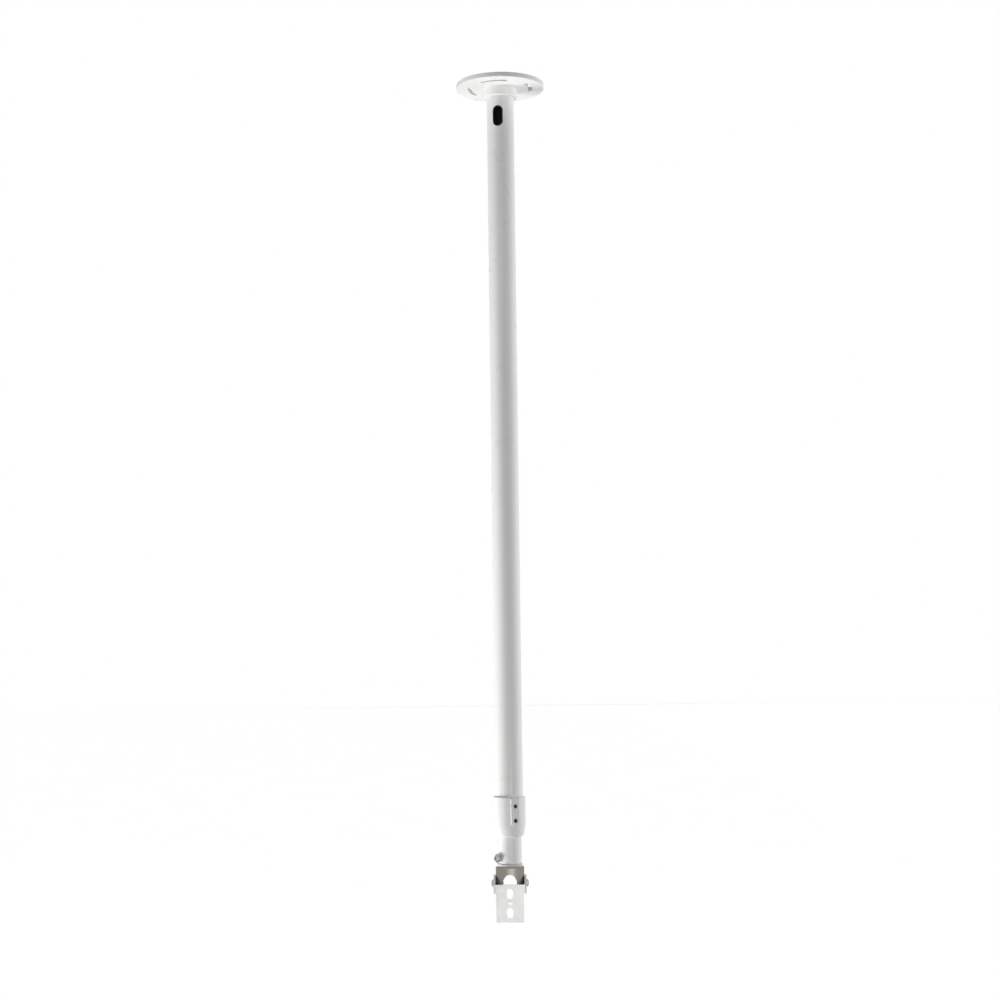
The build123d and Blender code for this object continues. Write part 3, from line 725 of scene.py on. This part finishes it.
class POLE_OT_collar_screws(bpy.types.Operator):
    """Add the set screws of the hub and of the collar's pad"""
    bl_idname = "pole.set_screws"
    bl_label = "Set screws"

    def execute(self, context):
        sizes = context.scene.pole_sizes
        hub_z = (low("flange_set_screws").z + high("flange_set_screws").z) / 2
        hub = [set_screw(radial(POLE_AZ + a, hub_z, HUB_SCREW_END), HUB_SCREW_L, sizes)
               for a in HUB_SCREW_AZ]
        piece(merged(hub), "hub_screws", "pole", "dark_steel", ["flange_set_screws"])
        depth = PAD_SCREW_END - OUTER_R - PAD_SCREW_GAP
        pad = [set_screw(radial(PAD_AZ, z, PAD_SCREW_END), depth, sizes)
               for z in pad_screw_heights()]
        piece(merged(pad), "pad_screws", "pole", "dark_steel", ["collar_set_screws"])
        return {"FINISHED"}


class POLE_OT_lock_screw(bpy.types.Operator):
    """Add the screw and washer that lock the swivel"""
    bl_idname = "pole.lock_screw"
    bl_label = "Lock screw"

    def execute(self, context):
        sizes = context.scene.pole_sizes
        z = (low("lock_screw").z + high("lock_screw").z) / 2
        screw = button_screw(radial(LOCK_AZ, z, LOCK_SEAT), LOCK_SEAT - LOCK_TIP, sizes)
        piece(screw, "swivel_screw", "inner", "zinc_steel", ["lock_screw"])
        disc = washer(LOCK_WASHER_R, M6_HOLE_R, LOCK_WASHER_T,
                      radial(LOCK_AZ, z, LOCK_SEAT - LOCK_WASHER_T))
        piece(disc, "swivel_washer", "inner", "zinc_steel", ["lock_washer"])
        return {"FINISHED"}


class POLE_OT_pivot(bpy.types.Operator):
    """Add the tilt pivot's bolts, washers and lock nuts"""
    bl_idname = "pole.pivot"
    bl_label = "Tilt pivot"

    def execute(self, context):
        sizes = context.scene.pole_sizes
        seat_x, liner_x, inner_x = EAR_X + PIVOT_FIT, CUP_R + PIVOT_FIT, CUP_R - NUT_SEAT
        washers, nuts, liners = [], [], []
        for name, side in (("left", -1), ("right", 1)):
            outward = Vector((side, 0, 0))
            bolt = button_screw(across(PIVOT + outward * seat_x, outward), PIVOT_SHANK, sizes)
            piece(bolt, f"tilt_bolt_{name}", "yoke", "zinc_steel", [f"pivot_bolt_{name}"])
            liners.append(washer(LINER_R, M6_HOLE_R, LINER_T,
                                 across(PIVOT + outward * liner_x, outward)))
            washers.append(washer(LEG_WASHER_R, M6_HOLE_R, LEG_WASHER_T,
                                  across(PIVOT + outward * inner_x, outward)))
            nuts.append(lock_nut(across(PIVOT + outward * inner_x, -outward)))
        piece(merged(liners), "ear_liners", "yoke", "natural_nylon", ["friction_washers"])
        piece(merged(washers), "leg_washers", "yoke", "zinc_steel", ["pivot_washers"])
        piece(merged(nuts), "tilt_nuts", "yoke", "zinc_steel", ["pivot_nuts"])
        return {"FINISHED"}


# ---- collar and swivel --------------------------------------------------------------------
class POLE_OT_collar(bpy.types.Operator):
    """Add the clamp collar with its flat pad"""
    bl_idname = "pole.collar"
    bl_label = "Clamp collar"

    def execute(self, context):
        top, bottom = high("clamp_collar").z, low("clamp_collar").z
        shell = spun([(0, bottom), (NOSE_R, bottom), (COLLAR_R, COLLAR_SHOULDER),
                      (COLLAR_R, top), (0, top)], BODY_SIDES, closed=False)
        soften(shell, COLLAR_TOP_EDGE, 4, where=lambda e: e.verts[0].co.z > top - NEAR)
        soften(shell, NOSE_EDGE, 3, where=lambda e: e.verts[0].co.z < bottom + NEAR)
        shell = combined(shell, [self.pad()], "UNION")
        mouth_r, fit_r, ledge = INNER_R + MOUTH_GAP, OUTER_R + COLLAR_FIT, COLLAR_SHOULDER - NEAR
        bore = spun([(0, bottom - NEAR), (mouth_r, bottom - NEAR), (mouth_r, bottom + MOUTH_H),
                     (BUSH_SEAT_R, bottom + MOUTH_H), (BUSH_SEAT_R, ledge), (fit_r, ledge),
                     (fit_r, top + NEAR), (0, top + NEAR)], BODY_SIDES, closed=False)
        holes = [drum(M6_R, PAD_DEPTH, radial(PAD_AZ, z, PAD_FACE)) for z in pad_screw_heights()]
        shell = combined(shell, [bore, *holes])
        soften(shell, COLLAR_BREAK, 2, sharp=radians(60))
        piece(shell, "clamp_body", "pole", "white_powder_coat", ["clamp_collar"])
        return {"FINISHED"}

    @staticmethod
    def pad():
        """The flat pad that the set screws go through, with rounded corners and face."""
        pad = block((PAD_W, PAD_H, PAD_DEPTH), radial(PAD_AZ, PAD_Z, PAD_FACE - PAD_DEPTH / 2))
        outward = radial(PAD_AZ, 0).to_3x3() @ UP
        soften(pad, PAD_CORNER, 4, where=lambda e: abs(
            (e.verts[0].co - e.verts[1].co).normalized().dot(outward)) > 0.9)
        return soften(pad, PAD_EDGE, 4, where=lambda e: all(
            v.co.dot(outward) > PAD_FACE - NEAR / 100 for v in e.verts))


class POLE_OT_swivel(bpy.types.Operator):
    """Add the thrust ring and the arched cup"""
    bl_idname = "pole.swivel"
    bl_label = "Swivel cup"

    def execute(self, context):
        sizes = context.scene.pole_sizes
        ring_r, bottom, top = half_width("thrust_ring"), low("thrust_ring").z, high("thrust_ring").z
        ring = spun([(RING_BORE_R, bottom), (ring_r, bottom), (ring_r, top), (RING_BORE_R, top)],
                    RING_SIDES)
        soften(ring, RING_EDGE, 3)
        piece(ring, "swivel_ring", "yoke", "grey_nylon", ["thrust_ring"])
        piece(self.cup(sizes), "arched_cup", "yoke", "satin_steel", ["yoke_cup"])
        return {"FINISHED"}

    @staticmethod
    def cup(sizes):
        """A round cup, arched front and back, with two rounded legs."""
        top, bottom = high("yoke_cup").z, low("yoke_cup").z
        inner_r, roof = CUP_R - CUP_WALL, top - CUP_ROOF
        cup = spun([(NECK_R, top), (CUP_R, top), (CUP_R, bottom), (inner_r, bottom),
                    (inner_r, roof), (NECK_R, roof)], BODY_SIDES)
        soften(cup, CUP_EDGE, 5, where=lambda e: all(
            v.co.z > top - NEAR and v.co.xy.length > CUP_R - NEAR for v in e.verts))
        centre = ARCH_APEX - ARCH_R
        shoulder = Vector((ARCH_R * cos(ARCH_FLARE), centre + ARCH_R * sin(ARCH_FLARE)))
        drop = shoulder.y - bottom + PAST
        flank = Vector((-drop * tan(ARCH_FLARE), drop))
        arch = prism(shoulder - flank, [tuple(flank), (0, centre, pi - 2 * ARCH_FLARE),
                                        (flank.x, -flank.y)],
                     3 * CUP_R, across(ORIGIN, (0, -1, 0)))
        belly = PIVOT.z - LEG_BELLY
        trims = []
        for side in (-1, 1):
            corner = Vector((side * LEG_HALF, belly))
            slope = Vector((side * (LEG_FOOT - LEG_HALF), bottom - belly))
            trims.append(prism(corner, [tuple(slope), (0, -PAST), (side * LEG_REACH, 0),
                                        (0, belly - bottom + PAST + LEG_RUN),
                                        (-side * (LEG_REACH + LEG_FOOT - LEG_HALF), 0),
                                        (0, -LEG_RUN)],
                               3 * CUP_R, across(ORIGIN, (1, 0, 0))))
        seats = [drum(NUT_FLAT_R, 2 * (inner_r - NUT_FLAT_DEPTH), across(PIVOT, (1, 0, 0))),
                 drum(M6_HOLE_R, 3 * CUP_R, across(PIVOT, (1, 0, 0)))]
        cup = combined(cup, [arch, *trims, *seats])
        soften(cup, sizes.edge_break, 2, sharp=radians(40))
        return cup


# ---- bracket ------------------------------------------------------------------------------
class POLE_OT_bracket(bpy.types.Operator):
    """Add the bent and slotted tilt bracket"""
    bl_idname = "pole.bracket"
    bl_label = "Tilt bracket"

    def execute(self, context):
        sizes = context.scene.pole_sizes
        t = sizes.sheet
        front, bottom = low("tilt_bracket").y, low("tilt_bracket").z
        plate_half = EAR_X - BEND_R - t
        strap_low = PIVOT.z - EAR_R
        back = front + t + BEND_R
        height = PLATE_TOP - strap_low
        strap = prism((EAR_X, back + SIDE_RUN),
                      [(0, -SIDE_RUN), (plate_half, back, -pi / 2), (-2 * plate_half, 0),
                       (-plate_half, back, -pi / 2), (0, SIDE_RUN), (t, 0), (0, -SIDE_RUN),
                       (-plate_half, back, pi / 2), (2 * plate_half, 0),
                       (plate_half, back, pi / 2), (0, SIDE_RUN), (t, 0)],
                      height, Matrix.Translation((0, 0, strap_low + height / 2)))
        plate = block((2 * plate_half, t, PLATE_TOP - bottom),
                      Matrix.Translation((0, front + t / 2, (PLATE_TOP + bottom) / 2)))
        soften(plate, PLATE_CORNER, 5, where=lambda e: all(v.co.z < bottom + NEAR for v in e.verts)
               and abs(e.verts[0].co.x - e.verts[1].co.x) < NEAR)
        touch = acos(EAR_R / -back)
        ears = []
        for side in (-1, 1):
            place = across(Vector((side * (EAR_X - t / 2), 0, PIVOT.z)), (1, 0, 0))
            ears.append(prism((back, 0), [(0, -EAR_R), (-back, 0), (0, 0, pi * 1.5 - touch)], t,
                              place))
        solid = combined(strap, [plate, *ears], "UNION")
        places = [opening(f"display_slot_{i}") for i in (1, 2)]
        slots = [capsule(PLATE_SLOT_H, PLATE_SLOT_W, PLATE_CUT, across(place, (0, -1, 0)))
                 for place in places]
        tie = block((TIE_SLOT_W, PLATE_CUT, TIE_SLOT_H),
                    Matrix.Translation(sum(places, ORIGIN) / 2))
        soften(tie, TIE_CORNER, 4,
               where=lambda e: abs(e.verts[0].co.y - e.verts[1].co.y) > NEAR)
        pin = drum(EAR_HOLE_R, 4 * EAR_X, across(PIVOT, (1, 0, 0)))
        solid = combined(solid, [*slots, tie, pin])
        soften(solid, sizes.edge_break, 2, sharp=STEEP)
        piece(solid, "display_bracket", "bracket", "pale_steel", ["tilt_bracket"])
        return {"FINISHED"}


# ---- CAD nodes that stay ------------------------------------------------------------------
class POLE_OT_hidden_parts(bpy.types.Operator):
    """Give the bushes, shoe, spigot and its nut their finishes"""
    bl_idname = "pole.hidden_parts"
    bl_label = "Inner parts"

    def execute(self, context):
        slots = {row["node"]: row["material_slot"] for row in frame["record"]["subparts"]}
        for node in ("clamp_shoe", "guide_bush", "glide_ring", "rivet_nut", "swivel_spigot",
                     "spigot_nut"):
            mesh = frame["nodes"][node].data
            mesh.materials.clear()
            mesh.materials.append(finish(slots[node]))
        return {"FINISHED"}


# ---- studio -------------------------------------------------------------------------------
class POLE_OT_studio(bpy.types.Operator):
    """Add the floor, the lights and the camera"""
    bl_idname = "pole.studio"
    bl_label = "Studio"

    def execute(self, context):
        self.world(context.scene)
        self.floor(context.scene)
        self.lights()
        self.camera(context.scene)
        context.scene.view_settings.view_transform = "Standard"
        return {"FINISHED"}

    @staticmethod
    def world(scene):
        """A white room for the eye and for the steel's reflections, which lights the pole dimly."""
        world = bpy.data.worlds.new("white_room")
        scene.world = world
        world.use_nodes = True
        tree = world.node_tree
        tree.nodes.clear()
        heading = add_node(tree, "ShaderNodeTexCoord").outputs["Generated"]
        height = add_node(tree, "ShaderNodeSeparateXYZ", {"Vector": heading}).outputs["Z"]
        above = add_node(tree, "ShaderNodeMapRange", {"Value": height},
                         {"From Min": 0.0, "From Max": 0.7, "To Min": 0.15, "To Max": 0.10})
        below = add_node(tree, "ShaderNodeMapRange", {"Value": height},
                         {"From Min": -1.0, "From Max": 0.0, "To Min": 0.30, "To Max": 0.0})
        strength = add_node(tree, "ShaderNodeMath", {0: above.outputs[0], 1: below.outputs[0]},
                            operation="ADD")
        seen = add_node(tree, "ShaderNodeBackground", values={"Color": (1, 1, 1, 1)})
        cast = add_node(tree, "ShaderNodeBackground", {"Strength": strength.outputs[0]},
                        {"Color": (1, 1, 1, 1)})
        mirrored = add_node(tree, "ShaderNodeBackground",
                            values={"Color": (1, 1, 1, 1), "Strength": 0.7})
        path = add_node(tree, "ShaderNodeLightPath")
        surface = cast
        for ray, background in (("Is Glossy Ray", mirrored), ("Is Camera Ray", seen)):
            mix = add_node(tree, "ShaderNodeMixShader", {0: path.outputs[ray],
                                                         1: surface.outputs[0],
                                                         2: background.outputs[0]})
            surface = mix
        add_node(tree, "ShaderNodeOutputWorld", {"Surface": surface.outputs[0]})

    @staticmethod
    def floor(scene):
        """A wide pale floor, which takes its own light and throws none up at the pole."""
        bm = bmesh.new()
        bmesh.ops.create_circle(bm, cap_ends=True, segments=96, radius=FLOOR_R)
        bm.transform(Matrix.Translation((0, 0, FLOOR_Z)))
        made = as_object(bm, "floor")
        material, tree, shader, place = new_material("pale_floor", {"Roughness": 0.7})
        mottle = noise(tree, place, 0.5, 2.0)
        rgb = scene.pole_colours.floor
        tree.links.new(between(tree, mottle, shade(rgb, 0.98), rgb), shader.inputs["Base Color"])
        made.data.materials.append(material)
        made.visible_diffuse = made.visible_glossy = False

    @staticmethod
    def lights():
        """Soft boxes at both sides, ones in front that the steel mirrors, and one over the floor."""
        boxes = (
            ("low_left", (-1.5, -0.1, -1.95), (1.2, 1.0), 44, (0, 0, -0.5)),
            ("high_left", (-1.5, -0.1, -0.2), (1.2, 1.0), 5.5, (0, 0, -0.5)),
            ("back_right", (1.3, 0.9, -0.6), (0.8, 1.8), 12, (0, 0, -0.6)),
            ("side_right", (1.6, 0, -0.5), (0.8, 1.8), 11.7, (0, 0, -0.5)),
            ("front_low", (0.05, -1.5, -1.48), (0.5, 0.5), 2.0, (0, 0, -1.18)),
            ("front_top", (0, -0.55, -0.12), (0.25, 0.25), 0.22, (0, 0, -0.12)),
            ("front_strip", (0.72, -1.87, -1.31), (0.06, 0.40), 4.0, (0, 0, -1.1)),
            ("floor_wash", (0, 0, -1.9), (2 * FLOOR_R, 2 * FLOOR_R), 45500, (0, 0, -3)))
        for name, place, size, power, target in boxes:
            data = bpy.data.lights.new(name, "AREA")
            data.shape = "RECTANGLE"
            data.size, data.size_y = size
            data.energy = power
            lamp = bpy.data.objects.new(name, data)
            lamp.location = place
            turn = (Vector(target) - Vector(place)).to_track_quat("-Z", "Y")
            lamp.rotation_euler = turn.to_euler()
            lamp.visible_camera = False
            # The big side boxes would glare in the cup, so the steel mirrors only the front ones.
            lamp.visible_glossy = name.startswith("front")
            bpy.context.scene.collection.objects.link(lamp)

    @staticmethod
    def camera(scene):
        """A long lens at the height of the pole's lower half, a little to its right."""
        data = bpy.data.cameras.new("camera")
        data.lens, data.sensor_width = 68.62, 36.0
        data.clip_start, data.clip_end = 0.1, 100
        made = bpy.data.objects.new("camera", data)
        scene.collection.objects.link(made)
        azimuth, distance, height, roll = radians(1.0), 2.779, -0.861, radians(-0.72)
        made.location = (distance * sin(azimuth), -distance * cos(azimuth), height)
        aim = Vector((-0.00773, 0, -0.62105)) - made.location
        turn = aim.to_track_quat("-Z", "Y").to_matrix().to_4x4()
        made.rotation_euler = (turn @ Matrix.Rotation(roll, 4, "Z")).to_euler()
        scene.camera = made


class POLE_PT_panel(bpy.types.Panel):
    """The pole's tools in the sidebar"""
    bl_label = "Drop pole"
    bl_space_type = "VIEW_3D"
    bl_region_type = "UI"
    bl_category = "Drop pole"

    def draw(self, context):
        for operator in OPERATORS:
            self.layout.operator(operator.bl_idname)
        for group in (context.scene.pole_sizes, context.scene.pole_colours):
            for name in group.__annotations__:
                self.layout.prop(group, name)


OPERATORS = (POLE_OT_studio, POLE_OT_flange, POLE_OT_tubes, POLE_OT_grommet,
             POLE_OT_collar, POLE_OT_collar_screws, POLE_OT_lock_screw, POLE_OT_swivel,
             POLE_OT_bracket, POLE_OT_pivot, POLE_OT_hidden_parts)
CLASSES = (PoleSizes, PoleColours, *OPERATORS, POLE_PT_panel)


def register():
    """Registers the classes and hangs the settings on the scene."""
    for cls in CLASSES:
        bpy.utils.register_class(cls)
    bpy.types.Scene.pole_sizes = PointerProperty(type=PoleSizes)
    bpy.types.Scene.pole_colours = PointerProperty(type=PoleColours)


def unregister():
    """Removes the settings and the classes."""
    del bpy.types.Scene.pole_colours
    del bpy.types.Scene.pole_sizes
    for cls in reversed(CLASSES):
        bpy.utils.unregister_class(cls)


def main():
    """Builds everything in order."""
    register()
    for operator in OPERATORS:
        group, name = operator.bl_idname.split(".")
        getattr(getattr(bpy.ops, group), name)()


if __name__ == "__main__":
    main()
